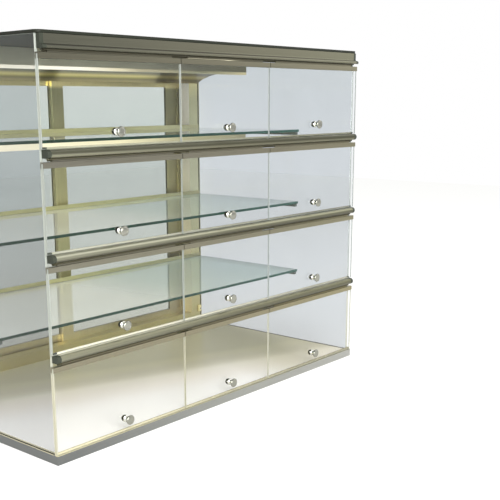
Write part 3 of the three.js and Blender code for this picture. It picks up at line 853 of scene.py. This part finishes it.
# A gasket starts as a flat rectangle on the glass. The new face has no normal yet, so its inset
# moves nothing, and the gasket comes out as a wall along the rectangle's edges, without a width.
def addGaskets(door, look):
    glassLow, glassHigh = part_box(f"{door}_glass")
    seat = look["gasketSeat"] * mm
    lowX, highX = glassLow.x + seat, glassHigh.x - seat
    lowZ, highZ = glassLow.z + seat, glassHigh.z - seat
    for label, faceY, outward in (("inner", glassLow.y, -1), ("outer", glassHigh.y, 1)):
        bm = bmesh.new()
        corners = [(lowX, lowZ), (highX, lowZ), (highX, highZ), (lowX, highZ)]
        inside = bm.faces.new([bm.verts.new((x, faceY, z)) for x, z in corners])
        bmesh.ops.inset_region(
            bm, faces=[inside], thickness=look["gasketWidth"] * mm,
            use_boundary=True, use_even_offset=True,
        )
        bmesh.ops.delete(bm, geom=[inside], context="FACES_ONLY")
        grown = bmesh.ops.extrude_face_region(bm, geom=list(bm.faces))
        top = [item for item in grown["geom"] if isinstance(item, bmesh.types.BMVert)]
        bmesh.ops.translate(bm, verts=top, vec=(0, outward * look["gasketHeight"] * mm, 0))
        bmesh.ops.recalc_face_normals(bm, faces=bm.faces)
        roundEdges(bm, look["gasketRound"])
        finishPiece(bm, f"{door}_gasket_{label}", [surfaces["gasket"]], door)


def addRear(look):
    back = copyOf("rear_frame")
    roundEdges(back, look["frameRound"])
    for face in back.faces:
        middle = face.calc_center_median() / mm
        toInner = abs(abs(middle.x) - look["postInner"])
        isInner = abs(face.normal.x) > 0.9 and toInner < look["postLap"]
        isInlet = all(low < part < high for part, (low, high) in zip(middle, look["inlet"]))
        face.material_index = 2 if isInlet else int(isInner)
    finishPiece(
        back, "rear_uprights", [metals["rear"], surfaces["pile"], surfaces["inlet"]], "root",
        ["rear_frame"],
    )
    halfX, halfZ = (size / 2 for size in look["pinSize"])
    front, behind = look["pinReach"]
    for x, z in look["pins"]:
        pin = boxOf((x - halfX, front, z - halfZ), (x + halfX, behind, z + halfZ))
        roundEdges(pin, look["pinRound"])
        finishPiece(pin, f"inlet_pin_{x}", [metals["pin"]], "root")
    for door in ("rear_door_left", "rear_door_right"):
        leaf = copyOf(f"{door}_frame")
        roundEdges(leaf, look["leafRound"])
        finishPiece(
            leaf, f"{door}_leaf", [metals["leaf"]], door,
            [f"{door}_frame"],
        )
        pane = paneOf(f"{door}_glass", look["paneGrind"], 1)
        finishPiece(
            pane, f"{door}_pane", [glazing["rear"], surfaces["doorEdge"]], door,
            [f"{door}_glass"],
        )
        addGaskets(door, look)


addRear(rearSet)
print("rear frame and sliding doors made")


# Lamps: the coved soffit with its driver, the tray under the top shelf, and two opal covers.
lampSet = {
    "sheetRound": 0.5, "coverRound": 1.2,
    "driverFoot": 962.2, "driverFront": 100, "driverReach": 131,     # bounds of the driver's faces
    "faceBack": 85.5,     # the soffit's faces in front of this depth are its front face's
}


def addLamps(look):
    soffit = copyOf("light_soffit")
    roundEdges(soffit, look["sheetRound"])
    for face in soffit.faces:
        middle = face.calc_center_median() / mm
        isBehind = middle.z > look["driverFoot"] and middle.y > look["driverFront"]
        if isBehind and abs(middle.x) < look["driverReach"]:
            face.material_index = 1
        elif middle.y < look["faceBack"]:
            face.material_index = 2
    dressing = [metals["soffit"], surfaces["driver"], metals["soffitFace"]]
    finishPiece(soffit, "coved_soffit", dressing, "root", ["light_soffit"])
    tray = copyOf("shelf_lamp_tray")
    roundEdges(tray, look["sheetRound"])
    finishPiece(tray, "lamp_tray", [metals["soffit"]], "root", ["shelf_lamp_tray"])
    for node, lamp in (("top_lamp_diffuser", "top"), ("shelf_lamp_diffuser", "shelf")):
        cover = copyOf(node)
        roundEdges(cover, look["coverRound"], segments=3)
        finishPiece(cover, f"{lamp}_lamp_cover", [lamps[lamp]], "root", [node])


addLamps(lampSet)
print("lamps made")


# Pale floor and plain soft studio light.
studioLook = {
    "floorSize": 14,
    "floorTone": "#E8E8E6",
    "floorGlow": 0.15,
    "floorDrop": 0.5,
    "skyStrength": 1,
    "aim": (0, 0, 0.4),     # where both lamps point
    "keyPower": 260, "keySize": 2.6, "keyPlace": (-2.0, -3.6, 1.7),
    "fillPower": 26, "fillSize": 2.6, "fillPlace": (3.0, -2.2, 2.4),
}


# 1 for rays that come from the camera, off metal or through glass, which see the floor glow white.
def seenDirectly(tree):
    path = addNode(tree, "ShaderNodeLightPath")
    first = addNode(tree, "ShaderNodeMath", {"operation": "MAXIMUM"}, {
        0: path.outputs["Is Camera Ray"], 1: path.outputs["Is Glossy Ray"],
    })
    both = addNode(tree, "ShaderNodeMath", {"operation": "MAXIMUM"}, {
        0: first.outputs["Value"], 1: path.outputs["Is Transmission Ray"],
    })
    return both.outputs["Value"]


def addStudio(look):
    world = bpy.data.worlds.new("studio")
    scene.world = world
    world.use_nodes = True
    tree = world.node_tree
    tree.nodes.clear()
    sky = addNode(tree, "ShaderNodeBackground", inputs={
        "Color": (1, 1, 1, 1), "Strength": look["skyStrength"],
    })
    addNode(tree, "ShaderNodeOutputWorld", inputs={"Surface": sky.outputs["Background"]})

    material, tree = startMaterial("paintedStudioFloor")
    base = addNode(tree, "ShaderNodeBsdfDiffuse", inputs={"Color": linear(look["floorTone"])})
    glow = addNode(tree, "ShaderNodeEmission", inputs={
        "Color": (1, 1, 1, 1), "Strength": look["floorGlow"],
    })
    lit = addNode(tree, "ShaderNodeAddShader", inputs={
        0: base.outputs["BSDF"], 1: glow.outputs["Emission"],
    })
    chosen = addNode(tree, "ShaderNodeMixShader", inputs={
        "Fac": seenDirectly(tree), 1: base.outputs["BSDF"], 2: lit.outputs["Shader"],
    })
    addNode(tree, "ShaderNodeOutputMaterial", inputs={"Surface": chosen.outputs["Shader"]})
    bm = bmesh.new()
    bmesh.ops.create_grid(
        bm, x_segments=1, y_segments=1, size=look["floorSize"] / 2,
        matrix=Matrix.Translation((0, 0, -look["floorDrop"] * mm)),
    )
    mesh = bpy.data.meshes.new("floor")
    bm.to_mesh(mesh)
    bm.free()
    mesh.materials.append(material)
    floor = bpy.data.objects.new("floor", mesh)
    scene.collection.objects.link(floor)

    for name in ("key", "fill"):
        data = bpy.data.lights.new(name, "AREA")
        data.energy = look[f"{name}Power"]
        data.size = look[f"{name}Size"]
        lamp = bpy.data.objects.new(name, data)
        scene.collection.objects.link(lamp)
        lamp.location = look[f"{name}Place"]
        beam = Vector(look["aim"]) - lamp.location
        lamp.rotation_euler = beam.to_track_quat("-Z", "Y").to_euler()


addStudio(studioLook)
scene.view_settings.view_transform = "Standard"
print("floor and lights made")
